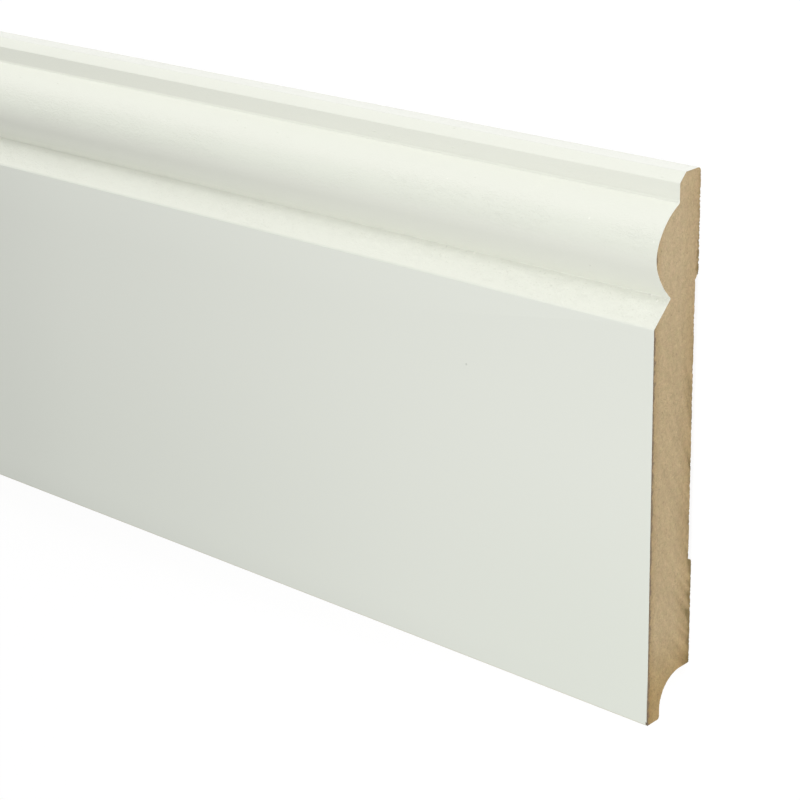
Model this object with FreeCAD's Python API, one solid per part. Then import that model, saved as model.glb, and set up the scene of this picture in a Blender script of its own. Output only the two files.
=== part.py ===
"""Skirting board length: one straight moulded board, lying on its back with the moulded face up.

Frame, in millimetres: X runs along the board, Y up its height as it is fixed to a wall, and Z out
of the wall. The origin is at the middle of the underside, the floor that the back pads lie on.

The board is one extruded section. A place in the section is given by its height above the bottom
edge and by its depth behind the flat face.
"""
import FreeCAD, Part
import math
import os

# Overall size of the board
BOARD_LENGTH = 2400.0
BOARD_HEIGHT = 120.0
BOARD_THICKNESS = 15.0

# Moulding: drops are measured down from the top edge, setbacks back from the flat face
FACE_DROP = 30.5
GROOVE_DROP = 25.3
GROOVE_DEPTH = 5.5
TORUS_NOSE_DROP = 16.1
TORUS_NOSE_SETBACK = 0.4
TORUS_NOSE_RADIUS = 7.5
TORUS_NOSE_HALF_ANGLE = math.radians(23.0)
TORUS_TOP_DROP = 6.1
FILLET_SETBACK = 7.85
TOP_CHAMFER = 2.0

# Back: a shallow relief between two pads, so that the board bears on an uneven wall
RELIEF_DEPTH = 1.1
RELIEF_TOP_DROP = 23.5
RELIEF_TOP_SLOPE = 1.2
RELIEF_BOTTOM_HEIGHT = 34.15

# Rebate along the lower back edge, for cables and a flooring gap
REBATE_HEIGHT = 9.4
REBATE_WEB = 4.45
REBATE_COVE_RADIUS = 7.1

# Radii of the long edges
FACE_ARRIS_RADIUS = 0.35
TOP_ARRIS_RADIUS = 0.3
BACK_TOP_RADIUS = 1.1
UPPER_PAD_RADIUS = 0.3
LOWER_PAD_RADIUS = 0.7
REBATE_EDGE_RADIUS = 0.2
WEB_EDGE_RADIUS = 0.6


def section_point(depth, height):
    """The place in the section at the board's -X end, for a depth and a height."""
    return FreeCAD.Vector(
        -BOARD_LENGTH / 2,
        height - BOARD_HEIGHT / 2,
        BOARD_THICKNESS - depth,
    )


def unit(vector):
    """A copy of a vector with a length of one."""
    return FreeCAD.Vector(vector).normalize()


def rounded_corner(before, corner, after, radius):
    """The start, middle and end of the arc that rounds a corner between two straight runs."""
    back = unit(before - corner)
    ahead = unit(after - corner)
    half_angle = back.getAngle(ahead) / 2
    reach = radius / math.tan(half_angle)
    bisector = unit(back + ahead)
    centre = corner + bisector * (radius / math.sin(half_angle))
    return corner + back * reach, centre - bisector * radius, corner + ahead * reach


def rounded_run(corners):
    """Straight edges through the corners, with an arc at each corner that has a radius.

    The first and last corners are the ends of the run and stay sharp.
    """
    points = [section_point(depth, height) for depth, height, _ in corners]
    edges = []
    pen = points[0]
    for index in range(1, len(corners) - 1):
        radius = corners[index][2]
        if radius == 0.0:
            edges.append(Part.LineSegment(pen, points[index]).toShape())
            pen = points[index]
            continue
        start, middle, end = rounded_corner(
            points[index - 1], points[index], points[index + 1], radius
        )
        edges.append(Part.LineSegment(pen, start).toShape())
        edges.append(Part.Arc(start, middle, end).toShape())
        pen = end
    edges.append(Part.LineSegment(pen, points[-1]).toShape())
    return edges


def flank_arc(nose_end, nose_centre, flank_end):
    """The arc that leaves the nose at nose_end, tangent to it, and ends at flank_end."""
    inward = unit(nose_centre - nose_end)
    chord = flank_end - nose_end
    radius = chord.dot(chord) / (2 * chord.dot(inward))
    centre = nose_end + inward * radius
    middle = centre + unit(nose_end + flank_end - centre * 2) * radius
    return Part.Arc(nose_end, middle, flank_end).toShape()


def torus_edges(upper_end, groove_bottom):
    """The torus bead from the upright fillet above it down to the groove: flank, nose, flank."""
    nose_height = BOARD_HEIGHT - TORUS_NOSE_DROP
    nose = section_point(TORUS_NOSE_SETBACK, nose_height)
    centre = section_point(TORUS_NOSE_SETBACK + TORUS_NOSE_RADIUS, nose_height)
    rise = TORUS_NOSE_RADIUS * math.sin(TORUS_NOSE_HALF_ANGLE)
    fall_back = TORUS_NOSE_RADIUS * (1 - math.cos(TORUS_NOSE_HALF_ANGLE))
    nose_top = section_point(TORUS_NOSE_SETBACK + fall_back, nose_height + rise)
    nose_foot = section_point(TORUS_NOSE_SETBACK + fall_back, nose_height - rise)
    return [
        flank_arc(nose_top, centre, upper_end),
        Part.Arc(nose_top, nose, nose_foot).toShape(),
        flank_arc(nose_foot, centre, groove_bottom),
    ]


def section_wire():
    """The closed outline of the section, from the groove down the face and round the back."""
    groove = (GROOVE_DEPTH, BOARD_HEIGHT - GROOVE_DROP, 0.0)
    torus_top = (FILLET_SETBACK, BOARD_HEIGHT - TORUS_TOP_DROP, 0.0)
    relief_back = BOARD_THICKNESS - RELIEF_DEPTH
    relief_top = BOARD_HEIGHT - RELIEF_TOP_DROP
    corners = [
        groove,
        (0.0, BOARD_HEIGHT - FACE_DROP, FACE_ARRIS_RADIUS),
        (0.0, 0.0, FACE_ARRIS_RADIUS),
        (REBATE_WEB, 0.0, WEB_EDGE_RADIUS),
        (REBATE_WEB, REBATE_HEIGHT, REBATE_COVE_RADIUS),
        (BOARD_THICKNESS, REBATE_HEIGHT, REBATE_EDGE_RADIUS),
        (BOARD_THICKNESS, RELIEF_BOTTOM_HEIGHT, LOWER_PAD_RADIUS),
        (relief_back, RELIEF_BOTTOM_HEIGHT, 0.0),
        (relief_back, relief_top, 0.0),
        (BOARD_THICKNESS, relief_top + RELIEF_TOP_SLOPE, UPPER_PAD_RADIUS),
        (BOARD_THICKNESS, BOARD_HEIGHT, BACK_TOP_RADIUS),
        (FILLET_SETBACK + TOP_CHAMFER, BOARD_HEIGHT, TOP_ARRIS_RADIUS),
        (FILLET_SETBACK, BOARD_HEIGHT - TOP_CHAMFER, TOP_ARRIS_RADIUS),
        torus_top,
    ]
    edges = rounded_run(corners)
    edges += torus_edges(section_point(*torus_top[:2]), section_point(*groove[:2]))
    return Part.Wire(Part.__sortEdges__(edges))


def skirting_board():
    """The whole board, its section run along the full length."""
    section = Part.Face(section_wire())
    return section.extrude(FreeCAD.Vector(BOARD_LENGTH, 0, 0))


os.makedirs("parts", exist_ok=True)
board = skirting_board()
board.exportStep("parts/skirting_board.step")
print("skirting_board", board.ShapeType, "valid", board.isValid(), "volume", round(board.Volume), "mm3")
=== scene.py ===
"""Skirting board length: a moulded fibreboard board with a white primed face, dressed for rendering.

All sizes are in metres, in the board's own frame: X runs along the board, Y from its foot to its
moulded top edge, and Z out of the moulded face. The board lies on its back on a pale floor, and the
camera looks down on the sawn end at +X. The sizes of the finishes are in millimetres.
"""

import logging
import math
from dataclasses import dataclass, field
from enum import Enum, IntEnum
from typing import Any, Union

import bpy
import numpy as np
from mathutils import Matrix, Vector, geometry, noise


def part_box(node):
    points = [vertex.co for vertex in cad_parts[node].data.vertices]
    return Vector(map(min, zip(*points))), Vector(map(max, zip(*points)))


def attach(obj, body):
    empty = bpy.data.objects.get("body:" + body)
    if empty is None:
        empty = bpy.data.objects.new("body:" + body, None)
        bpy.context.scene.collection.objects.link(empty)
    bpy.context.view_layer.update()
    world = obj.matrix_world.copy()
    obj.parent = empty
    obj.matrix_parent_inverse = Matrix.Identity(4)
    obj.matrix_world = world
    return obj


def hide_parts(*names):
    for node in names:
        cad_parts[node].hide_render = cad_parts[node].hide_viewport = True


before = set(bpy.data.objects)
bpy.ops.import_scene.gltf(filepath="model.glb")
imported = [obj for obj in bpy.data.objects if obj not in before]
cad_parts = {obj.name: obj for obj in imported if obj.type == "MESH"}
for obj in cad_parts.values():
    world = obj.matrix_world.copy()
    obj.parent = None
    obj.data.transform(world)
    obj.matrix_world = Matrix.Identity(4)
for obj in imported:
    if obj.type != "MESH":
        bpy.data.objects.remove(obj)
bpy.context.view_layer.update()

log = logging.getLogger("skirting")

NODE = "skirting_board"
MM = 0.001
# In millimetres, the Y and Z of the middle of the saw blade's path, and the spacing of its marks
BLADE_CENTRE = (46.0, -102.0)
BLADE_PITCH = 1.7

Triple = tuple[float, float, float]
Colour = Triple
# Two numbers, such as where a smooth step is 0 and where it is 1
Span = tuple[float, float]
Value = Union["Socket", float]
Tint = Union["Socket", Colour]

WHITE: Colour = (1.0, 1.0, 1.0)
# A Mix node's sockets for colours, which come after those for numbers and vectors
MIX_FIRST, MIX_SECOND, MIX_RESULT = 6, 7, 2


def seen_as(*levels: int) -> Colour:
    """The linear colour of one that a screen shows with these levels, from 0 to 255."""
    shares = np.array(levels) / 255
    return tuple(np.where(shares <= 0.04045, shares / 12.92, ((shares + 0.055) / 1.055) ** 2.4).tolist())


def placed(name: str, data: bpy.types.ID) -> bpy.types.Object:
    """Put a new object in the scene.

    Args:
        name: Its name.
        data: Its mesh, light or camera.

    Returns:
        The object.
    """
    thing = bpy.data.objects.new(name, data)
    bpy.context.scene.collection.objects.link(thing)
    return thing


# Shader maths


class Socket:
    """The output of a shader node, which can be used in sums and products."""

    def __init__(self, shader: "Shader", link: bpy.types.NodeSocket) -> None:
        """Keep the output and the shader that it belongs to."""
        self.shader = shader
        self.link = link

    def _math(self, operation: str, first: Value, second: Value = 0.0) -> "Socket":
        """Add a Math node for one operation."""
        return self.shader.node("ShaderNodeMath", {"operation": operation}, {0: first, 1: second})

    def __add__(self, other: Value) -> "Socket":
        """The sum of two values."""
        return self._math("ADD", self, other)

    def __radd__(self, other: float) -> "Socket":
        """The sum, with a plain number first."""
        return self._math("ADD", other, self)

    def __sub__(self, other: Value) -> "Socket":
        """The difference of two values."""
        return self._math("SUBTRACT", self, other)

    def __rsub__(self, other: float) -> "Socket":
        """The difference, with a plain number first."""
        return self._math("SUBTRACT", other, self)

    def __mul__(self, other: Value) -> "Socket":
        """The product of two values."""
        return self._math("MULTIPLY", self, other)

    def __rmul__(self, other: float) -> "Socket":
        """The product, with a plain number first."""
        return self._math("MULTIPLY", other, self)

    def __truediv__(self, other: Value) -> "Socket":
        """The quotient of two values."""
        return self._math("DIVIDE", self, other)

    def __pow__(self, other: Value) -> "Socket":
        """A value raised to a power."""
        return self._math("POWER", self, other)

    def __abs__(self) -> "Socket":
        """The size of a value without its sign."""
        return self._math("ABSOLUTE", self)

    def most(self, other: Value) -> "Socket":
        """The larger of two values."""
        return self._math("MAXIMUM", self, other)

    def step(self, low: float, high: float) -> "Socket":
        """A smooth step over this value.

        Args:
            low: Where it is 0.
            high: Where it is 1. It may be under low, for a step down.

        Returns:
            The step.
        """
        if low > high:
            return 1.0 - self.step(high, low)
        sockets = {"Value": self, "From Min": low, "From Max": high}
        return self.shader.node("ShaderNodeMapRange", {"interpolation_type": "SMOOTHSTEP"}, sockets)


class Shader:
    """The node tree of a material or a world, built with one method for every kind of node."""

    def __init__(self, owner: bpy.types.Material | bpy.types.World, kind: str = "Material") -> None:
        """Clear the owner's tree, and give it an output.

        Args:
            owner: The material or the world.
            kind: Which of the two it is, in the name of its output node.
        """
        owner.use_nodes = True
        self.owner = owner
        self.tree = owner.node_tree
        self.tree.nodes.clear()
        self.output = self.tree.nodes.new(f"ShaderNodeOutput{kind}")

    def node(
        self,
        kind: str,
        settings: dict[str, Any] | None = None,
        inputs: dict[str | int, Any] | None = None,
        output: str | int = 0,
    ) -> Socket:
        """Add a node.

        Args:
            kind: The node's type.
            settings: Its own settings, set before its sockets; stops are a ramp's places and colours.
            inputs: A value or a linked output for each socket, by name or number.
            output: Which output to give back.

        Returns:
            The chosen output.
        """
        node = self.tree.nodes.new(kind)
        for name, value in (settings or {}).items():
            if name == "stops":
                self._set_stops(node.color_ramp, value)
            else:
                setattr(node, name, value)
        for name, value in (inputs or {}).items():
            socket = node.inputs[name]
            if isinstance(value, Socket):
                self.tree.links.new(value.link, socket)
            elif socket.type == "RGBA":
                socket.default_value = (*value, 1.0)
            else:
                socket.default_value = value
        return Socket(self, node.outputs[output])

    @staticmethod
    def _set_stops(ramp: bpy.types.ColorRamp, stops: list[tuple[float, Colour]]) -> None:
        """Give a ramp its stops.

        Args:
            ramp: The ramp.
            stops: The stops, each a place from 0 to 1 and a colour.
        """
        while len(ramp.elements) < len(stops):
            ramp.elements.new(1.0)
        for element, (place, colour) in zip(ramp.elements, stops):
            element.position = place
            element.color = (*colour, 1.0)

    def parts(self, vector: Socket) -> list[Socket]:
        """The X, Y and Z of a vector."""
        split = self.node("ShaderNodeSeparateXYZ", inputs={0: vector})
        return [Socket(self, part) for part in split.link.node.outputs]

    def times(self, first: Tint, second: Tint) -> Socket:
        """A vector or a colour with each of its parts multiplied."""
        return self.node("ShaderNodeVectorMath", {"operation": "MULTIPLY"}, {0: first, 1: second})

    def mix(self, factor: Value, first: Tint, second: Tint) -> Socket:
        """A colour between two, by a factor from 0 to 1."""
        sockets = {0: factor, MIX_FIRST: first, MIX_SECOND: second}
        return self.node("ShaderNodeMix", {"data_type": "RGBA"}, sockets, MIX_RESULT)

    def close(self, surface: Socket) -> Any:
        """Link the last shader to the output, and give back the material or the world."""
        self.tree.links.new(surface.link, self.output.inputs["Surface"])
        return self.owner


# The board's section


class Zone(Enum):
    """A stretch of the section's outline, named for the surface that it sweeps."""

    FACE = "flat face"
    BEVEL = "bevel down into the groove"
    BEAD = "torus bead"
    FILLET = "upright fillet"
    CHAMFER = "top chamfer"
    LAND = "top land"
    BACK = "back pad"
    RELIEF = "relief in the back"
    REBATE = "cable rebate"
    FOOT = "foot"


COATED = frozenset({Zone.FACE, Zone.BEVEL, Zone.BEAD, Zone.FILLET, Zone.CHAMFER, Zone.LAND})


@dataclass(frozen=True)
class Corner:
    """A corner of the outline: its place, its rounding, and the zone that follows it."""

    depth: float
    height: float
    radius: float
    zone: Zone


# A point of the outline, the zone that follows it, and whether the coarse outline keeps it
Vertex = tuple[Vector, Zone, bool]


@dataclass(frozen=True)
class Outline:
    """The closed outline of the section, as points in the YZ plane.

    Attributes:
        points: The points, one row each.
        inward: A unit direction into the board at each point.
        zones: The zone of the stretch that follows each point.
        travel: The way along the outline to each point, and at the end its whole length.
        kept: Which of the points the coarse outline of the long middle keeps.
    """

    points: np.ndarray
    inward: np.ndarray
    zones: list[Zone]
    travel: np.ndarray
    kept: list[int]


@dataclass(frozen=True)
class BoardSection:
    """The sizes of the section. Drops run down from the top edge, depths back from the face."""

    height: float
    thickness: float
    face_drop: float = 30.5 * MM
    groove_drop: float = 25.3 * MM
    groove_depth: float = 5.5 * MM
    nose_drop: float = 16.1 * MM
    nose_setback: float = 0.4 * MM
    nose_radius: float = 7.5 * MM
    nose_half_angle: float = math.radians(23.0)
    bead_top_drop: float = 6.1 * MM
    fillet_setback: float = 7.85 * MM
    top_chamfer: float = 2.0 * MM
    relief_depth: float = 1.1 * MM
    relief_top_drop: float = 23.5 * MM
    relief_top_slope: float = 1.2 * MM
    relief_bottom: float = 34.15 * MM
    rebate_height: float = 9.4 * MM
    rebate_web: float = 4.45 * MM
    cove_radius: float = 7.1 * MM
    face_arris: float = 0.35 * MM
    top_arris: float = 0.3 * MM
    back_top_radius: float = 1.1 * MM
    upper_pad_edge: float = 0.3 * MM
    lower_pad_edge: float = 0.7 * MM
    rebate_edge: float = 0.2 * MM
    web_edge: float = 0.6 * MM
    groove_tip: float = 0.25 * MM
    bead_top_tip: float = 0.4 * MM
    # How far apart the outline's points are, and how far an arc turns at most from one to the next
    coated_spacing: float = 0.35 * MM
    bare_spacing: float = 0.2 * MM
    coarse_spacing: float = 12.0 * MM
    finest_turn: float = math.radians(16)

    def at(self, depth: float, height: float) -> Vector:
        """The place in the YZ plane at a depth behind the face and a height above the foot."""
        return Vector((height - self.height / 2, self.thickness - depth))

    def line(self, drop: float) -> float:
        """The Y in millimetres of a line along the board, from its drop."""
        return (self.height / 2 - drop) / MM

    def corners(self) -> list[Corner]:
        """List the corners of the outline's straight-sided part.

        Returns:
            The corners, from the groove round to the bead's top.
        """
        top = self.height
        back = self.thickness
        relief_back = back - self.relief_depth
        relief_top = top - self.relief_top_drop
        return [
            Corner(self.groove_depth, top - self.groove_drop, 0.0, Zone.BEVEL),
            Corner(0.0, top - self.face_drop, self.face_arris, Zone.FACE),
            Corner(0.0, 0.0, self.face_arris, Zone.FOOT),
            Corner(self.rebate_web, 0.0, self.web_edge, Zone.REBATE),
            Corner(self.rebate_web, self.rebate_height, self.cove_radius, Zone.REBATE),
            Corner(back, self.rebate_height, self.rebate_edge, Zone.BACK),
            Corner(back, self.relief_bottom, self.lower_pad_edge, Zone.RELIEF),
            Corner(relief_back, self.relief_bottom, 0.0, Zone.RELIEF),
            Corner(relief_back, relief_top, 0.0, Zone.RELIEF),
            Corner(back, relief_top + self.relief_top_slope, self.upper_pad_edge, Zone.BACK),
            Corner(back, top, self.back_top_radius, Zone.LAND),
            Corner(self.fillet_setback + self.top_chamfer, top, self.top_arris, Zone.CHAMFER),
            Corner(self.fillet_setback, top - self.top_chamfer, self.top_arris, Zone.FILLET),
            Corner(self.fillet_setback, top - self.bead_top_drop, 0.0, Zone.BEAD),
        ]

    def arc(self, centre: Vector, start: Vector, end: Vector) -> list[Vector]:
        """Points along the shorter arc round a centre.

        Args:
            centre: The arc's centre.
            start: Its first point.
            end: Its last point.

        Returns:
            The points, with both ends.
        """
        first = start - centre
        last = end - centre
        turn = math.atan2(first.x * last.y - first.y * last.x, first.dot(last))
        by_length = abs(turn) * first.length / self.coated_spacing
        steps = math.ceil(max(by_length, abs(turn) / self.finest_turn))
        return [centre + Matrix.Rotation(turn * i / steps, 2) @ first for i in range(steps + 1)]

    def rounding(self, before: Vector, corner: Vector, after: Vector, radius: float) -> list[Vector]:
        """Points along the arc that rounds a corner between two straight runs.

        Args:
            before: A point of the first run.
            corner: The corner.
            after: A point of the second run.
            radius: The arc's radius.

        Returns:
            The points, with both ends.
        """
        back = (before - corner).normalized()
        ahead = (after - corner).normalized()
        half_angle = back.angle(ahead) / 2
        reach = radius / math.tan(half_angle)
        centre = corner + (back + ahead).normalized() * (radius / math.sin(half_angle))
        return self.arc(centre, corner + back * reach, corner + ahead * reach)

    def bead(self) -> list[Vector]:
        """Draw the torus bead.

        Returns:
            The points along it, from its top at the fillet down to the groove.
        """
        nose_height = self.height - self.nose_drop
        centre = self.at(self.nose_setback + self.nose_radius, nose_height)
        rise = self.nose_radius * math.sin(self.nose_half_angle)
        fall_back = self.nose_radius * (1 - math.cos(self.nose_half_angle))
        nose_top = self.at(self.nose_setback + fall_back, nose_height + rise)
        nose_foot = self.at(self.nose_setback + fall_back, nose_height - rise)
        top = self.at(self.fillet_setback, self.height - self.bead_top_drop)
        groove = self.at(self.groove_depth, self.height - self.groove_drop)
        upper = self.flank(nose_top, centre, top)
        nose = self.arc(centre, nose_top, nose_foot)
        lower = self.flank(nose_foot, centre, groove)
        return upper[::-1] + nose[1:] + lower[1:]

    def flank(self, nose_end: Vector, nose_centre: Vector, end: Vector) -> list[Vector]:
        """Points along the arc that leaves the nose, tangent to it.

        Args:
            nose_end: Where it leaves the nose.
            nose_centre: The centre of the nose's arc.
            end: Where it ends.

        Returns:
            The points, with both ends.
        """
        inward = (nose_centre - nose_end).normalized()
        chord = end - nose_end
        radius = chord.dot(chord) / (2 * chord.dot(inward))
        return self.arc(nose_end + inward * radius, nose_end, end)

    def outline(self) -> Outline:
        """Join the corners and the bead to one closed outline.

        Returns:
            The outline, with its directions and zones.
        """
        corners = self.corners()
        places = [self.at(corner.depth, corner.height) for corner in corners]
        bead = self.bead()
        groove = self.rounding(bead[-2], places[0], places[1], self.groove_tip)
        vertices: list[Vertex] = [(point, Zone.BEVEL, True) for point in groove]
        for index, corner in enumerate(corners[1:-1], start=1):
            turn = [places[index]]
            if corner.radius:
                turn = self.rounding(*places[index - 1:index + 2], corner.radius)
            vertices += [(point, corner.zone, True) for point in turn]
        bead_top = self.rounding(places[-2], places[-1], bead[1], self.bead_top_tip)
        vertices += [(point, Zone.BEAD, True) for point in bead_top + bead[1:-1]]
        return self.measured(self.divided(vertices))

    def divided(self, vertices: list[Vertex]) -> list[Vertex]:
        """Divide the long straight stretches.

        Args:
            vertices: The corners and the points of the arcs.

        Returns:
            All the points, of which the coarse outline keeps only a few of the new ones.
        """
        divided = []
        for index, (point, zone, _) in enumerate(vertices):
            after = vertices[(index + 1) % len(vertices)][0]
            spacing = self.coated_spacing if zone in COATED else self.bare_spacing
            steps = max(1, math.ceil((after - point).length / spacing - 0.01))
            stride = max(1, round(self.coarse_spacing / spacing))
            for step in range(steps):
                divided.append((point.lerp(after, step / steps), zone, step % stride == 0))
        return divided

    @staticmethod
    def measured(vertices: list[Vertex]) -> Outline:
        """Work out the directions and the way along the outline.

        Args:
            vertices: All its points.

        Returns:
            The outline.
        """
        points = np.array([tuple(point) for point, _, _ in vertices])
        following = np.roll(points, -1, axis=0)
        steps = np.linalg.norm(following - points, axis=1)
        along = (following - points) / steps[:, None]
        tangent = along + np.roll(along, 1, axis=0)
        tangent /= np.linalg.norm(tangent, axis=1)[:, None]
        inward = np.column_stack((tangent[:, 1], -tangent[:, 0]))
        if np.sum(points[:, 0] * following[:, 1] - following[:, 0] * points[:, 1]) > 0:
            inward = -inward
        travel = np.concatenate(([0.0], np.cumsum(steps)))
        kept = [index for index, (_, _, is_kept) in enumerate(vertices) if is_kept]
        return Outline(points, inward, [zone for _, zone, _ in vertices], travel, kept)


# Finishes


class Finish(Shader):
    """A finish of the board, which knows in millimetres where the shaded point lies on it."""

    def __init__(self, name: str, section: BoardSection) -> None:
        """Make the material, and measure how far the point is from the board's sides.

        Args:
            name: The material's name.
            section: The board's section.
        """
        super().__init__(bpy.data.materials.new(name))
        metres = self.node("ShaderNodeTexCoord", output="Object")
        self.place = self.times(metres, (1 / MM, 1 / MM, 1 / MM))
        self.along, self.up, self.from_back = self.parts(self.place)
        self.thickness = section.thickness / MM
        self.from_middle = abs(self.along)
        self.from_top = section.line(0.0) - self.up
        self.from_foot = section.line(0.0) + self.up
        self.from_face = self.thickness - self.from_back

    def noise(
        self, waves: Triple, detail: float = 2.0, warp: float = 0.0, place: Socket | None = None
    ) -> Socket:
        """Soft noise from 0 to 1, about 0.5 on average.

        Args:
            waves: How many waves there are in a millimetre along each axis.
            detail: How many finer layers there are.
            warp: How far the pattern is pulled about.
            place: The place, where it isn't the shaded point's own.

        Returns:
            The noise.
        """
        sockets = {
            "Vector": self.times(place or self.place, waves),
            "Scale": 1.0,
            "Detail": detail,
            "Roughness": 0.55,
            "Distortion": warp,
        }
        return self.node("ShaderNodeTexNoise", inputs=sockets)

    def strands(self, waves: Triple, sharpness: float, warp: float) -> Socket:
        """Thin curling lines, 1 along each line and 0 between them, which warp curls."""
        wave = self.noise(waves, detail=1.0, warp=warp)
        return (1.0 - abs(wave - 0.5) * 2.0) ** sharpness

    def grains(self, cells: Triple, radius: float, share: float) -> Socket:
        """Small round grains, strewn at random.

        Args:
            cells: How many cells there are in a millimetre along each axis.
            radius: A grain's radius as a share of a cell.
            share: The share of the cells that hold one.

        Returns:
            1 at the top of a grain, falling to 0 at its edge.
        """
        sockets = {"Vector": self.times(self.place, cells), "Scale": 1.0}
        near = self.node("ShaderNodeTexVoronoi", inputs=sockets, output="Distance")
        draw = self.node("ShaderNodeTexVoronoi", inputs=sockets, output="Color")
        return near.step(radius, 0.0) * self.parts(draw)[0].step(1.0 - share, 1.001 - share)

    def band(self, line: float, reach: float, core: float) -> Socket:
        """1 in the core to both sides of a line along the board, falling to 0 at its reach."""
        return abs(self.up - line).step(reach, core)

    def shaded(self, colour: Tint, brightness: Socket) -> Socket:
        """A colour made lighter or darker by a factor about 1."""
        grey = self.node("ShaderNodeCombineXYZ", inputs=dict.fromkeys(range(3), brightness))
        return self.times(colour, grey)

    def surface(self, colour: Socket, roughness: Socket, height: Socket, specular: float) -> Any:
        """Finish the material with one Principled shader.

        Args:
            colour: Its colour.
            roughness: Its roughness.
            height: Its fine relief, in millimetres.
            specular: How strongly it reflects head on.

        Returns:
            The material.
        """
        sockets = {
            "Base Color": colour,
            "Roughness": roughness,
            "Normal": self.node("ShaderNodeBump", inputs={"Height": height, "Distance": MM}),
            "Specular IOR Level": specular,
        }
        return self.close(self.node("ShaderNodeBsdfPrincipled", inputs=sockets))


class Cut(IntEnum):
    """How a surface was left, which is also its place among the piece's materials."""

    COATED = 0
    SAWN = 1
    SANDED = 2
    MACHINED = 3


CUT_OF_ZONE = {zone: Cut.COATED for zone in COATED} | {
    Zone.BACK: Cut.SANDED,
    Zone.RELIEF: Cut.MACHINED,
    Zone.REBATE: Cut.MACHINED,
    Zone.FOOT: Cut.MACHINED,
}


@dataclass(frozen=True)
class Speck:
    """A nib with a painted glint or a dark speck of dust in the coat: X, Y, radius and how far it shows."""

    x: float
    y: float
    radius: float
    strength: float
    is_dark: bool = False


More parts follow.
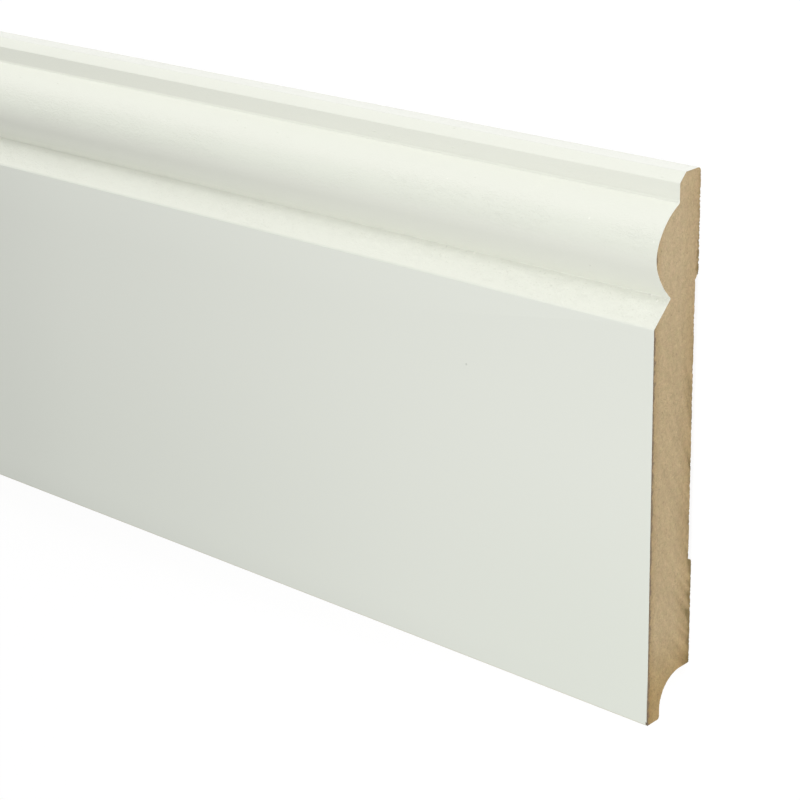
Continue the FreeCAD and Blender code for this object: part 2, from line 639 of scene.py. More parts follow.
class PrimedCoat(Finish):
    """The white lacquer on the face, the moulding and the top edge."""

    # Its colours: on the flat face; on the moulding, lighter, as painted light; on the top land;
    # on the face by the foot, darker, as painted shade; a pale one, painted light over the shade in
    # the moulding's hollows; and a darker one, painted shade in the pits between raised fibres
    face_tint: Colour = seen_as(225, 228, 219)
    lit_moulding_tint: Colour = seen_as(229, 231, 220)
    land_tint: Colour = seen_as(228, 229, 222)
    foot_shade_tint: Colour = seen_as(221, 225, 215)
    painted_light_tint: Colour = seen_as(244, 246, 235)
    pit_shade_tint: Colour = seen_as(216, 219, 205)
    # The colours of the board where it is rubbed off, of dust in it, and of the painted glint on
    # its nibs, which also lights the groove near the end as painted light
    rubbed_tint: Colour = seen_as(110, 96, 74)
    dark_speck: Colour = seen_as(120, 120, 110)
    glint_white: Colour = seen_as(255, 255, 246)
    # Factors of painted shade on its colour: over the bead's nose, on the face's arris, and on the
    # face far from the ends
    nose_shade: Colour = (0.966, 0.976, 0.968)
    arris_shade: Colour = (0.93, 0.94, 0.93)
    far_shade: Colour = (0.965, 0.965, 0.965)
    # The few specks that show near the end at +X; the pale ones are nibs with a painted glint
    specks: tuple[Speck, ...] = (
        Speck(1150.6, 11.0, 0.36, 0.31, is_dark=True),
        Speck(1140.95, 34.4, 0.24, 0.13, is_dark=True),
        Speck(1182.45, 39.1, 0.3, 0.15, is_dark=True),
        Speck(1148.8, 34.45, 0.34, 0.6),
        Speck(1146.6, 47.3, 0.25, 0.15),
        Speck(1143.2, 50.4, 0.28, 0.35),
        Speck(1182.0, 48.9, 0.3, 0.5),
        Speck(1198.7, 47.3, 0.28, 0.42),
        Speck(1195.4, 34.57, 0.3, 1.0),
        Speck(1197.3, 33.93, 0.32, 1.0),
    )
    # How far from the middle painted light lifts the shade in the hollows and in the groove, and
    # painted shade darkens the arris, the face by the foot, and the whole face
    painted_light_span: Span = (880.0, 1210.0)
    groove_light_span: Span = (1186.0, 1196.0)
    arris_span: Span = (1190.0, 1120.0)
    foot_shade_span: Span = (1130.0, 1190.0)
    far_span: Span = (1025.0, 985.0)
    plain_roughness: float = 0.42
    # How high raised fibres, its own stipple and nibs stand
    fibre_relief: float = 0.045
    stipple_relief: float = 0.004
    nib_relief: float = 0.07

    def __init__(self, section: BoardSection, end_at: float) -> None:
        """Start the material, and place the moulding's lines and the board's ends.

        Args:
            section: The board's section.
            end_at: How far an end is from the middle, in millimetres.
        """
        super().__init__("primed_coat", section)
        self.from_end = end_at - self.from_middle
        self.arris = section.line(section.face_drop)
        self.groove = section.line(section.groove_drop)
        self.nose = section.line(section.nose_drop)
        self.bead_top = section.line(section.bead_top_drop)
        self.moulded = self.up.step(self.arris - 0.3, self.arris + 0.5)

    def material(self) -> bpy.types.Material:
        """Build the coat from its colours and its relief.

        Returns:
            The material.
        """
        torn = self.torn() * self.moulded
        stipple = self.noise((1.1, 1.3, 1.3), detail=3.0)
        fibres = self.strands((0.5, 0.9, 0.9), sharpness=7.0, warp=1.2) * torn
        nibs = self.grains((0.22, 0.4, 0.4), radius=0.13, share=0.3) * self.moulded
        fine_nibs = self.grains((1.1, 1.4, 1.4), radius=0.3, share=0.25) * torn
        height = (
            stipple * self.stipple_relief * (1.0 + self.moulded)
            + fibres * self.fibre_relief
            + nibs * self.nib_relief
            + fine_nibs * (self.nib_relief / 3)
        )
        # Painted shade: the face is darker towards the foot
        low = self.up.step(5.0, -50.0) * (0.35 + 0.65 * self.from_middle.step(*self.foot_shade_span))
        land = self.from_top.step(0.2, 0.0)
        colour = self.mix(low, self.face_tint, self.foot_shade_tint)
        # Painted light: the moulding is lighter than the face
        colour = self.mix(self.moulded, colour, self.lit_moulding_tint)
        colour = self.mix(land, colour, self.land_tint)
        # Painted light over the shade in the moulding's hollows
        colour = self.mix(self.painted_light(), colour, self.painted_light_tint)
        # Painted shade over the nose, on the arris and far from the ends
        colour = self.times(colour, self.shade())
        # Painted shade in the pits between raised fibres
        pit_shade = self.noise((1.6, 2.4, 2.4)).step(0.42, 0.26) * torn
        colour = self.mix(pit_shade * 0.5, colour, self.pit_shade_tint)
        # Painted light along the groove near the end
        groove_light = self.band(self.groove - 0.2, reach=0.42, core=0.1)
        colour = self.mix(groove_light * self.from_middle.step(*self.groove_light_span) * 0.3, colour, self.glint_white)
        # Dark dust specks, and nibs that are pale as a painted glint
        for speck in self.specks:
            reach = (self.along - speck.x) ** 2.0 + (self.up - speck.y) ** 2.0
            spot = reach.step(speck.radius ** 2, 0.0) * speck.strength
            colour = self.mix(spot, colour, self.dark_speck if speck.is_dark else self.glint_white)
            height = height + spot * self.nib_relief
        colour = self.mix(self.rubbed(), colour, self.rubbed_tint)
        roughness = self.plain_roughness + 0.08 * stipple + 0.06 * self.moulded
        return self.surface(colour, roughness, height, specular=0.5)

    def torn(self) -> Socket:
        """Find where the cutter raised the fibres.

        Returns:
            How much, which is most in patches on the bead's shoulder and the bevel.
        """
        shoulder = self.band(self.nose + 3.0, reach=5.0, core=1.5)
        bevel = self.band(self.groove - 2.5, reach=3.5, core=1.5)
        patches = self.noise((0.05, 0.11, 0.11)).step(0.3, 0.62)
        return (0.3 + 0.7 * (shoulder + bevel)) * (0.35 + 0.65 * patches)

    def painted_light(self) -> Socket:
        """Find where painted light lifts the shade in the moulding's hollows.

        Returns:
            How much: on the bevel near the ends, low on the bead, and at the bead's top.
        """
        near_end = self.from_middle.step(*self.painted_light_span)
        past_groove = self.up.step(self.groove, self.groove + 0.3)
        on_bevel = self.up.step(self.groove - 5.5, self.groove - 0.8) * (1.0 - past_groove)
        on_bead = self.up.step(self.groove + 6.5, self.groove + 3.5) * past_groove
        dark_line = self.band(self.groove - 0.4, reach=0.8, core=0.3) * (1.0 - near_end)
        under_bead = self.band(self.groove + 0.9, reach=1.2, core=0.5) * (1.0 - near_end)
        at_top = self.band(self.bead_top + 0.3, reach=0.45, core=0.05)
        uneven = self.noise((0.35, 0.8, 0.8)) + 0.4
        faded_at_end = 1.0 - self.from_end.step(4.5, 0.5) * 0.75
        on_bevel = on_bevel * near_end * (1.0 - dark_line) * uneven * faded_at_end
        return on_bevel + on_bead * (0.42 - near_end * 0.4) + under_bead * 0.3 + at_top * 0.9

    def shade(self) -> Socket:
        """Find the painted shade over the nose, on the arris and far from the ends.

        Returns:
            The factor for its colour.
        """
        over_nose = self.band(self.nose + 2.7, reach=4.0, core=0.6)
        at_arris = self.band(self.arris + 0.1, reach=0.32, core=0.08)
        at_arris = at_arris * self.from_middle.step(*self.arris_span)
        far_face = (1.0 - self.moulded) * self.from_middle.step(*self.far_span)
        shade = self.mix(over_nose, WHITE, self.nose_shade)
        shade = self.mix(at_arris, shade, self.arris_shade)
        return self.mix(far_face, shade, self.far_shade)

    def rubbed(self) -> Socket:
        """Find where the coat is rubbed off an end's edge.

        Returns:
            How much, which is only low down and at the lower tip.
        """
        edge = self.from_end.step(0.2, 0.05) * self.from_foot.step(12.0, 5.0)
        tip = self.from_end.step(0.34, 0.28) * self.from_foot.step(1.1, 0.8)
        return (edge * 0.6).most(tip)


class Fibreboard(Finish):
    """Bare medium density fibreboard: dense dark skins, a paler core, and short matted fibres."""

    # Its colours: at mid thickness, a few millimetres under the back, close under a skin, in the
    # dense skin at the back, and in the thin dark line under the coat of the flat face, which is partly
    # its dense skin and partly painted shadow of the coat's chipped edge
    core: Colour = seen_as(188, 167, 131)
    inner: Colour = seen_as(180, 157, 119)
    near_skin: Colour = seen_as(167, 146, 108)
    skin: Colour = seen_as(140, 122, 84)
    face_skin_and_shadow: Colour = seen_as(110, 97, 88)
    # The colours at some distances from the back
    depths: tuple[tuple[float, Colour], ...] = (
        (0.4, skin),
        (1.0, near_skin),
        (2.3, inner),
        (6.0, core),
        (12.3, core),
        (14.0, inner),
        (14.8, near_skin),
    )
    # Factors for a sawn end: by the foot, behind the moulding, and for two casts that wander over it
    foot_stain: Colour = (0.83, 0.755, 0.58)
    upper_lift: Colour = (1.07, 1.08, 1.12)
    olive_cast: Colour = (0.95, 1.02, 0.95)
    rosy_cast: Colour = (1.05, 0.98, 1.03)
    # The colours of the sanded back, of the core where a cutter has opened it, and of lacquer mist
    sanded: Colour = seen_as(172, 149, 114)
    machined: Colour = seen_as(186, 165, 129)
    mist_tint: Colour = seen_as(228, 231, 219)

    def __init__(self, section: BoardSection, cut: Cut) -> None:
        """Start the material of one cut."""
        super().__init__(f"fibreboard_{cut.name.lower()}", section)
        self.cut = cut

    def material(self) -> bpy.types.Material:
        """Build the material of this cut."""
        return self.sawn() if self.cut is Cut.SAWN else self.lengthwise()

    def blade_marks(self) -> Socket:
        """Draw the saw blade's arcs.

        Returns:
            Their marks, about 0, which fade out behind the moulding.
        """
        blade_y = (self.up - BLADE_CENTRE[0]) ** 2.0
        blade_z = (self.from_back - BLADE_CENTRE[1]) ** 2.0
        reach = (blade_y + blade_z) ** 0.5
        arcs = self.node("ShaderNodeCombineXYZ", inputs={0: reach, 1: self.up * 0.05})
        marks = self.noise((1.0 / BLADE_PITCH, 1.0, 1.0), detail=1.0, place=arcs) - 0.5
        return marks * self.from_top.step(25.0, 50.0)

    def sawn(self) -> bpy.types.Material:
        """Build the cross-cut end: layers of matted fibres, with the blade's faint arcs across them.

        Returns:
            The material.
        """
        out = self.from_back
        blade = self.blade_marks()
        upper = self.from_top.step(42.0, 16.0)
        lifted = upper * out.step(6.0, 0.5)
        by_back = out.step(9.0, 2.0)
        above_foot = self.from_foot.step(8.0, 20.0)
        wander = (self.noise((0.3, 0.3, 0.3)) - 0.5) * self.from_face.step(0.0, 3.0)
        depth = out + wander * 1.6 + lifted * 2.4 + blade * by_back * above_foot * 5.0
        stops = [(place / self.thickness, tint) for place, tint in self.depths]
        colour = self.node("ShaderNodeValToRGB", {"stops": stops}, {"Fac": depth / self.thickness})
        foot = self.from_foot.step(23.0, 3.5)
        colour = self.times(colour, self.mix(foot, WHITE, self.foot_stain))
        colour = self.times(colour, self.mix(upper, WHITE, self.upper_lift))
        dashes = self.noise((0.8, 0.7, 0.8)) - 0.5
        # The dark line by the flat face: partly its dense skin, partly painted shadow under the coat's edge
        skin_and_shadow_line = (self.from_face - dashes * 2.2).step(1.01, 0.31)
        back_line = (out + dashes * 2.6).step(0.9, 0.1) * (self.from_top.step(6.0, 20.0) * 0.6 + 0.35)
        tip = ((self.from_foot ** 2.0 + self.from_face ** 2.0) ** 0.5).step(1.3, 0.4)
        colour = self.mix(skin_and_shadow_line * 0.65, colour, self.face_skin_and_shadow)
        colour = self.mix(back_line, colour, self.skin)
        colour = self.mix(tip * 0.7, colour, self.face_skin_and_shadow)
        warm = self.noise((0.5, 0.55, 0.5), detail=3.0)
        colour = self.times(colour, self.mix(warm, self.olive_cast, self.rosy_cast))
        clouds = self.noise((0.2, 0.12, 0.3), detail=3.0) - 0.5
        mottle = self.noise((1.1, 1.1, 0.9), detail=4.0) - 0.5
        specks = self.grains((0.7, 0.75, 0.7), radius=0.24, share=0.3)
        dark_fibres = self.strands((0.8, 0.7, 1.2), sharpness=14.0, warp=1.5)
        pale_fibres = self.strands((1.0, 0.55, 1.1), sharpness=16.0, warp=1.0)
        brightness = (
            1.0
            + clouds * 0.10
            + mottle * 0.27
            + blade * (by_back * 0.22 + 0.20)
            - dark_fibres * 0.15
            + pale_fibres * 0.10
            - specks * 0.22
        )
        height = mottle * 0.10 - dark_fibres * 0.05 + pale_fibres * 0.04 + blade * 0.03
        return self.surface(self.shaded(colour, brightness), 0.86 + mottle * 0.1, height, specular=0.25)

    def lengthwise(self) -> bpy.types.Material:
        """Build a surface along the board: sanded smooth, or left a little furry by a cutter.

        Returns:
            The material.
        """
        is_sanded = self.cut is Cut.SANDED
        relief = 0.012 if is_sanded else 0.05
        clouds = self.noise((0.03, 0.06, 0.06), detail=3.0) - 0.5
        mottle = self.noise((0.5, 0.7, 0.7), detail=4.0) - 0.5
        scratches = self.noise((0.02, 5.0, 5.0)) - 0.5
        dark_fibres = self.strands((0.35, 0.5, 0.5), sharpness=16.0, warp=1.5)
        pale_fibres = self.strands((0.45, 0.6, 0.6), sharpness=16.0, warp=1.2)
        brightness = (
            1.0 + clouds * 0.10 + mottle * 0.14 + scratches * 0.05 - dark_fibres * 0.14 + pale_fibres * 0.07
        )
        height = mottle * relief + scratches * 0.006 + pale_fibres * relief
        colour = self.shaded(self.sanded if is_sanded else self.machined, brightness)
        colour = self.mix(self.mist() * 0.85, colour, self.mist_tint)
        return self.surface(colour, 0.8 + mottle * 0.1, height, specular=0.3)

    def mist(self) -> Socket:
        """Find where the lacquer has misted round the edges of the coat.

        Returns:
            How much, from 0 to 1.
        """
        ragged = (self.noise((0.25, 0.8, 0.8), detail=4.0) - 0.5) * 3.0
        front = (self.from_face - ragged).step(3.4, 0.4) * self.from_foot.step(1.2, 0.0)
        return front.most((self.from_top - ragged * 0.6).step(1.6, 0.2))


# Mesh building


@dataclass
class BakeLayout:
    """Where each part of the surface lies on the square that the finishes are baked to.

    The long surface is unrolled and cut across into equal lengths, which lie one above the other.
    The two sawn ends lie below them, at a larger scale because they hold the finest detail.
    """

    section: BoardSection
    length: float
    girth: float
    lengths: int = 3
    margin: float = 0.004
    end_scale: float = 0.72

    def end_band(self) -> float:
        """The height of the band that one end takes."""
        return self.end_scale * self.section.thickness / self.section.height + 2 * self.margin

    def cuts(self) -> list[float]:
        """The X at which the long surface is cut, from end to end."""
        return [-self.length / 2 + self.length * i / self.lengths for i in range(self.lengths + 1)]

    def strip(self, x: float) -> int:
        """Which length a place in the middle of a face belongs to."""
        return min(self.lengths - 1, int((x + self.length / 2) / self.length * self.lengths))

    def along(self, x: float, travel: float, strip: int) -> Span:
        """The place of a point of the long surface.

        Args:
            x: Its place along the board.
            travel: Its way round the section.
            strip: The length that it lies in.

        Returns:
            Its place on the square.
        """
        low = 2 * self.end_band()
        band = (1.0 - low) / self.lengths
        across = (x - self.cuts()[strip]) / (self.length / self.lengths)
        return (
            self.margin + across * (1 - 2 * self.margin),
            low + strip * band + self.margin + travel / self.girth * (band - 2 * self.margin),
        )

    def end(self, side: int, y: float, z: float) -> Span:
        """The place of a point of a sawn end.

        Args:
            side: 1 for the end at +X, -1 for the one at -X.
            y: The point's Y.
            z: Its Z.

        Returns:
            Its place on the square.
        """
        scale = self.end_scale / self.section.height
        low = self.margin + (0.0 if side > 0 else self.end_band())
        return self.margin + (y + self.section.height / 2) * scale, low + z * scale


@dataclass
class SurfaceBuilder:
    """Gathers vertices and faces, each face with its finish and its place on the bake square."""

    vertices: list[Triple] = field(default_factory=list)
    faces: list[list[int]] = field(default_factory=list)
    cuts: list[int] = field(default_factory=list)
    corners: list[Span] = field(default_factory=list)
    sharp_angle: float = math.radians(28)

    def add(self, x: float, y: float, z: float) -> int:
        """Add a vertex and give back its number."""
        self.vertices.append((x, y, z))
        return len(self.vertices) - 1

    def face(self, around: list[int], cut: Cut, places: list[Span]) -> None:
        """Add a face.

        Args:
            around: Its vertices, anticlockwise from outside.
            cut: Its finish.
            places: The place of each corner on the bake square.
        """
        self.faces.append(around)
        self.cuts.append(int(cut))
        self.corners += places

    def piece(self, name: str, materials: list[bpy.types.Material]) -> bpy.types.Object:
        """Make the object.

        Args:
            name: Its name.
            materials: Its materials, in the order of the cuts.

        Returns:
            The object, linked to the scene.
        """
        mesh = bpy.data.meshes.new(name)
        mesh.from_pydata(self.vertices, [], self.faces)
        for material in materials:
            mesh.materials.append(material)
        mesh.polygons.foreach_set("material_index", self.cuts)
        mesh.polygons.foreach_set("use_smooth", [True] * len(self.faces))
        layer = mesh.uv_layers.new(name="OFBake")
        layer.data.foreach_set("uv", np.array(self.corners, dtype=np.float32).ravel())
        mesh.set_sharp_from_angle(angle=self.sharp_angle)
        mesh.validate()
        mesh.update()
        return placed(name, mesh)


@dataclass
class SkirtingBoard:
    """The whole board: its long surface, and its two sawn ends with their small damage.

    The side of the end at +X is 1, and that of the one at -X is -1.
    """

    section: BoardSection
    length: float
    # How far the rings near an end are from it in millimetres, and how far apart the others are
    stations: tuple[float, ...] = (0.0, 0.12, 0.3, 0.6, 1.1, 2.0, 4.0, 10.0)
    middle_step: float = 0.08
    # How thick the coat's edge is on a sawn end, and how far its inner edge is set in
    coat_thickness: float = 0.06 * MM
    coat_set_in: float = 0.02 * MM
    # How far apart the points over a sawn end are, and how far each is moved as a share of that
    grain_spacing: float = 0.36 * MM
    grain_shift: float = 0.28
    seed: int = 7
    # How far from an end its wear fades, on the coat and on bare board, in millimetres
    coat_fade: float = 0.18
    bare_fade: float = 0.45
    outline: Outline = field(init=False)
    layout: BakeLayout = field(init=False)
    surface: SurfaceBuilder = field(default_factory=SurfaceBuilder)

    def __post_init__(self) -> None:
        """Work out the outline and the bake layout."""
        self.outline = self.section.outline()
        self.layout = BakeLayout(self.section, self.length, float(self.outline.travel[-1]))

    def wear(self, side: int, index: int, distance: float) -> float:
        """How far the surface is worn in near an end.

        Args:
            side: The end's side.
            index: The point of the outline.
            distance: How far from the end the place is, in millimetres.

        Returns:
            The wear, square to the surface.
        """
        y, z = self.outline.points[index] / MM
        zone = self.outline.zones[index]
        broad = noise.noise(Vector((y * 0.35 + 40 * side, z * 0.35, 3.1)))
        rough = noise.noise(Vector((y * 1.5 + 11 * side, z * 1.5, 5.4)))
        fine = noise.noise(Vector((y * 3.3, z * 3.3 + 17 * side, 8.7)))
        if zone in COATED:
            chip = max(0.0, rough + 0.4 * fine - 0.5) * 0.3
            return (0.015 + 0.015 * fine + chip) * MM * math.exp(-distance / self.coat_fade)
        share = {Zone.FOOT: 0.3, Zone.REBATE: 0.3, Zone.RELIEF: 1.0}.get(zone)
        if share is None:
            share = 1.5 if y > 0 else 0.9
            broad = 0.0
        torn = min(0.2, max(0.0, 0.06 + 0.12 * broad + 0.16 * rough + 0.24 * fine))
        return share * torn * MM * math.exp(-distance / self.bare_fade)

    def ring(self, side: int, distance: float) -> list[int]:
        """Add the vertices of one ring round the board, near an end.

        Args:
            side: The end's side.
            distance: How far from the end the ring is, in millimetres.

        Returns:
            The vertices' numbers.
        """
        x = side * (self.length / 2 - distance * MM)
        places = zip(self.outline.points, self.outline.inward)
        return [
            self.surface.add(x, *(point + inward * self.wear(side, index, distance)))
            for index, (point, inward) in enumerate(places)
        ]

    def band(self, first: list[int], second: list[int], spans: list[tuple[int, int]]) -> None:
        """Join two rings.

        Args:
            first: The ring at the lower X.
            second: The ring at the higher X.
            spans: For each face, the outline points where it starts and ends.
        """
        vertices = self.surface.vertices
        count = len(self.outline.points)
        kept_rank = {index: rank for rank, index in enumerate(self.outline.kept)}

        def members(ring: list[int], start: int, end: int) -> list[tuple[int, float]]:
            """Pick a ring's vertices for one face.

            Args:
                ring: The ring.
                start: The outline point where the face starts.
                end: The one where it ends.

            Returns:
                The vertices, each with its way round the section.
            """
            if len(ring) == count:
                return [(ring[i % count], self.outline.travel[i]) for i in range(start, end + 1)]
            return [(ring[kept_rank[i % count]], self.outline.travel[i]) for i in (start, end)]

        strip = self.layout.strip((vertices[first[0]][0] + vertices[second[0]][0]) / 2)
        for start, end in spans:
            around = members(first, start, end) + members(second, start, end)[::-1]
            places = [self.layout.along(vertices[number][0], float(way), strip) for number, way in around]
            cut = CUT_OF_ZONE[self.outline.zones[start]]
            self.surface.face([number for number, _ in around], cut, places)

    def long_surface(self) -> dict[int, list[int]]:
        """Build the long surface.

        Returns:
            The outermost ring at each side.
        """
        count = len(self.outline.points)
        every = [(i, i + 1) for i in range(count)]
        kept = self.outline.kept
        coarse = list(zip(kept, kept[1:] + [kept[0] + count]))
        low_end, high_end = ([self.ring(side, away) for away in self.stations] for side in (-1, 1))
        for outer, inner in zip(low_end, low_end[1:]):
            self.band(outer, inner, every)
        for outer, inner in zip(high_end, high_end[1:]):
            self.band(inner, outer, every)
        reach = self.length / 2 - self.middle_step
        stops = np.arange(-reach, reach + self.middle_step / 2, self.middle_step)
        places = sorted({round(float(x), 6) for x in (*self.layout.cuts()[1:-1], *stops)})
        middle = [[self.surface.add(x, *self.outline.points[i]) for i in kept] for x in places]
        rings = [low_end[-1], *middle, high_end[-1]]
        for near, far in zip(rings, rings[1:]):
            self.band(near, far, coarse)
        return {-1: low_end[0], 1: high_end[0]}

    def end_depth(self, side: int, place: Vector) -> float:
        """How far a place on a sawn end lies behind the end's plane.

        Args:
            side: The end's side.
            place: Its Y and Z.

        Returns:
            The depth, which falls to nothing at the outline.
        """
        y, z = place / MM
        edge = self.distance_to_outline(place) / MM
        matted = noise.fractal(Vector((y * 0.55, z * 0.9, 5.0 * side)), 1.0, 2.0, 3)
        tufts = noise.noise(Vector((y * 1.4 + 9 * side, z * 2.0, 1.7)))
        reach = math.hypot(y - BLADE_CENTRE[0], z - BLADE_CENTRE[1])
        blade = noise.noise(Vector((reach / BLADE_PITCH, 0.04 * y, 2.0 * side)))
        depth = 0.06 + 0.05 * matted + 0.03 * tufts + 0.015 * blade
        return max(0.0, depth) * min(1.0, edge / 0.5) * MM

    def sawn_end(self, side: int, rim: list[int]) -> None:
        """Close one end with its sawn surface.

        Args:
            side: The end's side.
            rim: The vertices of the outermost ring there.
        """
        vertices = self.surface.vertices
        count = len(rim)
        numbers = rim + self.coat_edge(side, rim)
        flat = [Vector(vertices[number][1:]) for number in numbers]
        grains = self.scattered()
        loops = [(low + i, low + (i + 1) % count) for low in (0, count) for i in range(count)]
        inside_only, tolerance = 1, 1e-9
        _, _, faces, origins, _, _ = geometry.delaunay_2d_cdt(
            flat + grains, loops, [list(range(count))], inside_only, tolerance
        )
        for grain in grains:
            x = side * (self.length / 2 - self.end_depth(side, grain))
            numbers.append(self.surface.add(x, grain.x, grain.y))
        for face in faces:
            source = [origins[i][0] for i in face]
            around = self.facing([numbers[i] for i in source], side)
            in_coat = all(i < 2 * count for i in source)
            zone = self.outline.zones[min(i % count for i in source)]
            cut = Cut.COATED if in_coat and zone in COATED else Cut.SAWN
            places = [self.layout.end(side, *vertices[number][1:]) for number in around]
            self.surface.face(around, cut, places)

    def coat_edge(self, side: int, rim: list[int]) -> list[int]:
        """Add the inner edge of the coat as it shows on a sawn end, a little ragged.

        Args:
            side: The end's side.
            rim: The vertices of the outermost ring there.

        Returns:
            The new vertices' numbers.
        """
        x = side * (self.length / 2 - self.coat_set_in)
        numbers = []
        for number, inward in zip(rim, self.outline.inward):
            place = np.array(self.surface.vertices[number][1:])
            ragged = 1.0 + 0.35 * noise.noise(Vector((*(place / MM * 1.3), 6.0 * side)))
            reach = self.coat_thickness * ragged
            numbers.append(self.surface.add(x, *(place + inward * reach)))
        return numbers

    def scattered(self) -> list[Vector]:
        """Strew points evenly over a sawn end.

        Returns:
            The points, all a little apart from its edge.
        """
        draw = np.random.default_rng(self.seed)
        spacing = self.grain_spacing
        rows = np.arange(-self.section.height / 2, self.section.height / 2, spacing)
        columns = np.arange(0.0, self.section.thickness, spacing)
        grains = []
        for row, y in enumerate(rows):
            for z in columns:
                shift = draw.uniform(-self.grain_shift, self.grain_shift, 2) * spacing
                place = Vector((y + shift[0], z + (row % 2) * spacing / 2 + shift[1]))
                if self.inside(place) and self.distance_to_outline(place) > 0.75 * spacing:
                    grains.append(place)
        return grains

    def inside(self, place: Vector) -> bool:
        """Whether a place in the YZ plane is inside the section.

        Args:
            place: The place.

        Returns:
            Whether a line from it crosses the outline an odd number of times.
        """
        points = self.outline.points
        after = np.roll(points, -1, axis=0)
        crosses = (points[:, 1] > place.y) != (after[:, 1] > place.y)
        rise = np.where(crosses, after[:, 1] - points[:, 1], 1.0)
        at = points[:, 0] + (place.y - points[:, 1]) / rise * (after[:, 0] - points[:, 0])
        return bool(np.count_nonzero(crosses & (at > place.x)) % 2)

    def distance_to_outline(self, place: Vector) -> float:
        """How far a place in the YZ plane is from the nearest point of the outline."""
        offset = self.outline.points - np.array(tuple(place))
        return float(np.sqrt((offset ** 2).sum(axis=1).min()))

    def facing(self, around: list[int], side: int) -> list[int]:
        """Order the corners of a face of an end, so that it faces outwards.

        Args:
            around: The corners' vertices.
            side: The end's side.

        Returns:
            The vertices in that order.
        """
        (_, y0, z0), (_, y1, z1), (_, y2, z2) = (self.surface.vertices[n] for n in around[:3])
        area = (y1 - y0) * (z2 - z0) - (y2 - y0) * (z1 - z0)
        return around if (area > 0) == (side > 0) else around[::-1]

    def build(self) -> bpy.types.Object:
        """Build the board as one closed piece.

        Returns:
            The piece, which stands for its node.
        """
        for side, rim in self.long_surface().items():
            self.sawn_end(side, rim)
        materials = [PrimedCoat(self.section, self.length / 2 / MM).material()]
        for cut in (Cut.SAWN, Cut.SANDED, Cut.MACHINED):
            materials.append(Fibreboard(self.section, cut).material())
        piece = self.surface.piece("moulded_board", materials)
        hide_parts(NODE)
        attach(piece, "root")
        return piece


# The studio


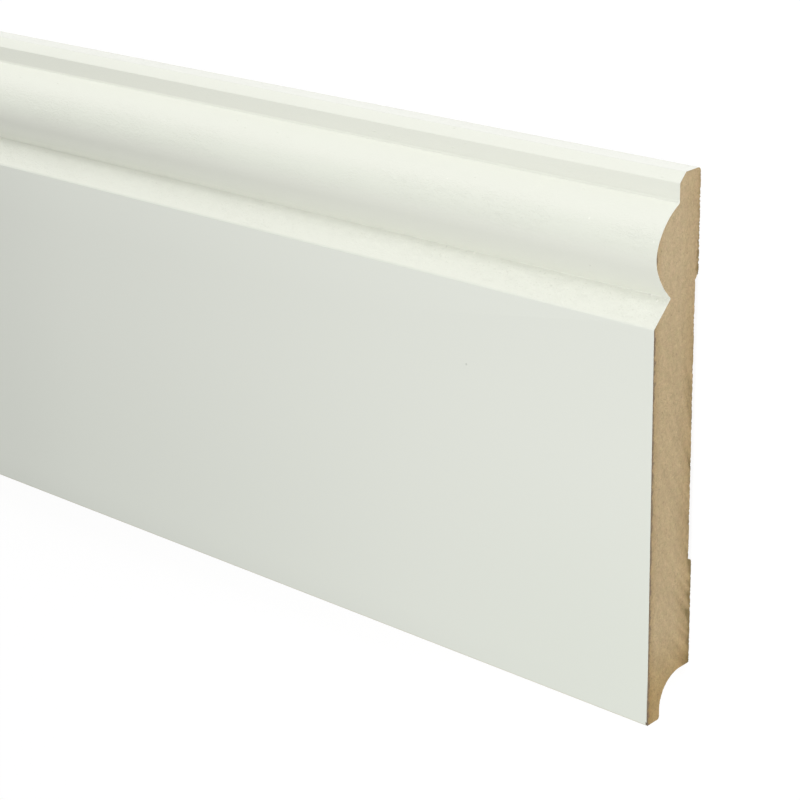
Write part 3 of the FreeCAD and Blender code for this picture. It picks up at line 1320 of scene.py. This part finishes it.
@dataclass(frozen=True)
class Studio:
    """The pale floor, the white surround and the soft lights."""

    # The floor: its side, its colour where light falls on it, how far it is plain white to the eye,
    # which leaves the rest for the shadow, and how bright that white is
    floor_size: float = 14.0
    floor_tint: Colour = (0.93, 0.93, 0.93)
    plain_share: float = 0.85
    plain_strength: float = 1.06
    # The level of the even light from all round
    world_level: float = 0.56
    # The soft box on the moulded edge's side: its size, its place and its power in watts
    box_size: Span = (4.0, 0.98)
    box_place: Triple = (1.1, 1.0, 0.51)
    box_power: float = 15.8
    # The spot over the near end: its power, the radius that it lights as a share of its distance, its
    # softness, its lean towards the moulded edge in degrees, and how far beyond the end it is aimed
    spot_power: float = 13.2
    spot_reach: float = 0.35
    spot_softness: float = 0.12
    spot_tilt: float = -35.0
    spot_beyond: float = 0.10
    # The broad light on the sawn end: its strength, its width in degrees, and the way back to it
    side_level: float = 0.72
    side_width: float = 50.0
    side_direction: Triple = (0.99, 0.0, 0.08)

    def floor(self) -> None:
        """The floor: white to the eye and in reflections, with the board's soft shadow kept."""
        shader = Shader(bpy.data.materials.new("floor_paint"))
        rays = ("Is Camera Ray", "Is Glossy Ray", "Is Transmission Ray")
        seen = sum((shader.node("ShaderNodeLightPath", output=ray) for ray in rays), 0.0)
        painted = shader.node("ShaderNodeBsdfDiffuse", inputs={"Color": self.floor_tint})
        plain = shader.node("ShaderNodeEmission", inputs={"Color": WHITE, "Strength": self.plain_strength})
        sockets = {0: seen * self.plain_share, 1: painted, 2: plain}
        half = self.floor_size / 2
        corners = [(-half, -half, 0.0), (half, -half, 0.0), (half, half, 0.0), (-half, half, 0.0)]
        mesh = bpy.data.meshes.new("floor")
        mesh.from_pydata(corners, [], [(0, 1, 2, 3)])
        mesh.materials.append(shader.close(shader.node("ShaderNodeMixShader", inputs=sockets)))
        floor = placed("floor", mesh)

    def surround(self) -> None:
        """The world: plain white to the camera, and a soft even light on the board."""
        shader = Shader(bpy.data.worlds.new("white_surround"), "World")
        seen = shader.node("ShaderNodeLightPath", output="Is Camera Ray")
        even, plain = (
            shader.node("ShaderNodeBackground", inputs={"Color": WHITE, "Strength": strength})
            for strength in (self.world_level, 1.0)
        )
        blend = shader.node("ShaderNodeMixShader", inputs={0: seen, 1: even, 2: plain})
        bpy.context.scene.world = shader.close(blend)

    @staticmethod
    def lamp(name: str, kind: str, place: Vector, towards: Vector, settings: dict[str, Any]) -> None:
        """Stand a light in the scene.

        Args:
            name: Its name.
            kind: Its type.
            place: Where it stands.
            towards: The way back to it from what it lights.
            settings: Its own settings.
        """
        light = bpy.data.lights.new(name, kind)
        for setting, value in settings.items():
            setattr(light, setting, value)
        lamp = placed(name, light)
        lamp.rotation_mode = "QUATERNION"
        lamp.location = place
        lamp.rotation_quaternion = towards.to_track_quat("Z", "Y")
        lamp.visible_camera = False

    def edge_box(self) -> None:
        """The long soft box that faces the board's moulded edge."""
        width, height = self.box_size
        settings = {"shape": "RECTANGLE", "size": width, "size_y": height, "energy": self.box_power}
        self.lamp("edge_box", "AREA", Vector(self.box_place), Vector((0.0, 1.0, 0.0)), settings)

    def end_spot(self, end: Vector) -> None:
        """The soft round light on the board's near end, which fades out along the board.

        Args:
            end: The middle of that end.
        """
        tilt = math.radians(self.spot_tilt)
        towards = Vector((0.0, math.sin(tilt), math.cos(tilt)))
        place = end + Vector((self.spot_beyond, 0.0, 0.0)) + towards
        settings = {
            "energy": self.spot_power,
            "spot_size": 2 * math.atan(self.spot_reach),
            "spot_blend": 1.0,
            "shadow_soft_size": self.spot_softness,
        }
        self.lamp("end_spot", "SPOT", place, towards, settings)

    def side_sun(self) -> None:
        """The broad light on the sawn end."""
        settings = {"energy": self.side_level, "angle": math.radians(self.side_width)}
        self.lamp("side_sun", "SUN", Vector((2.0, 0.0, 0.5)), Vector(self.side_direction), settings)

    def build(self, end: Vector) -> None:
        """Set up the floor, the surround and the lights.

        Args:
            end: The middle of the board's near end.
        """
        self.floor()
        self.surround()
        self.edge_box()
        self.end_spot(end)
        self.side_sun()


@dataclass(frozen=True)
class PictureCamera:
    """The camera at the photograph's viewing angle."""

    # Where it stands, the point of the board's face on its axis, and how far it is turned about
    # that axis, clockwise, in degrees
    place: Triple = (1.45117, 0.18057, 0.36395)
    aim: Triple = (1.13096, -0.00202, 0.015)
    roll: float = 1.3945
    # Its focal length and the picture's side in pixels, and its sensor's width in millimetres
    focal_length: float = 2274.4
    picture_size: float = 800.0
    sensor: float = 36.0

    def build(self) -> bpy.types.Object:
        """Make the camera and give it to the scene.

        Returns:
            The camera.
        """
        data = bpy.data.cameras.new("picture_camera")
        data.sensor_width = self.sensor
        data.lens = self.focal_length / self.picture_size * self.sensor
        data.clip_start = 0.01
        place = Vector(self.place)
        forward = (Vector(self.aim) - place).normalized()
        level_right = forward.cross(Vector((0.0, 1.0, 0.0))).normalized()
        level_up = level_right.cross(forward)
        turn = math.radians(self.roll)
        up = level_up * math.cos(turn) + level_right * math.sin(turn)
        axes = Matrix((forward.cross(up), up, -forward)).transposed()
        camera = placed("picture_camera", data)
        camera.matrix_world = Matrix.Translation(place) @ axes.to_4x4()
        bpy.context.scene.camera = camera
        return camera


def main() -> None:
    """Build the board, the studio and the camera, and log what was built."""
    logging.basicConfig(level=logging.INFO, format="%(name)s: %(message)s")
    bpy.context.scene.view_settings.view_transform = "Standard"
    low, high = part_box(NODE)
    section = BoardSection(height=high.y - low.y, thickness=high.z - low.z)
    board = SkirtingBoard(section, length=high.x - low.x)
    piece = board.build()
    log.info("board: %d faces, %d outline points", len(piece.data.polygons), len(board.outline.points))
    Studio().build(Vector((high.x, 0.0, section.thickness / 2)))
    log.info("studio set up")
    camera = PictureCamera().build()
    log.info("camera: %.1f mm lens", camera.data.lens)


if __name__ == "__main__":
    main()
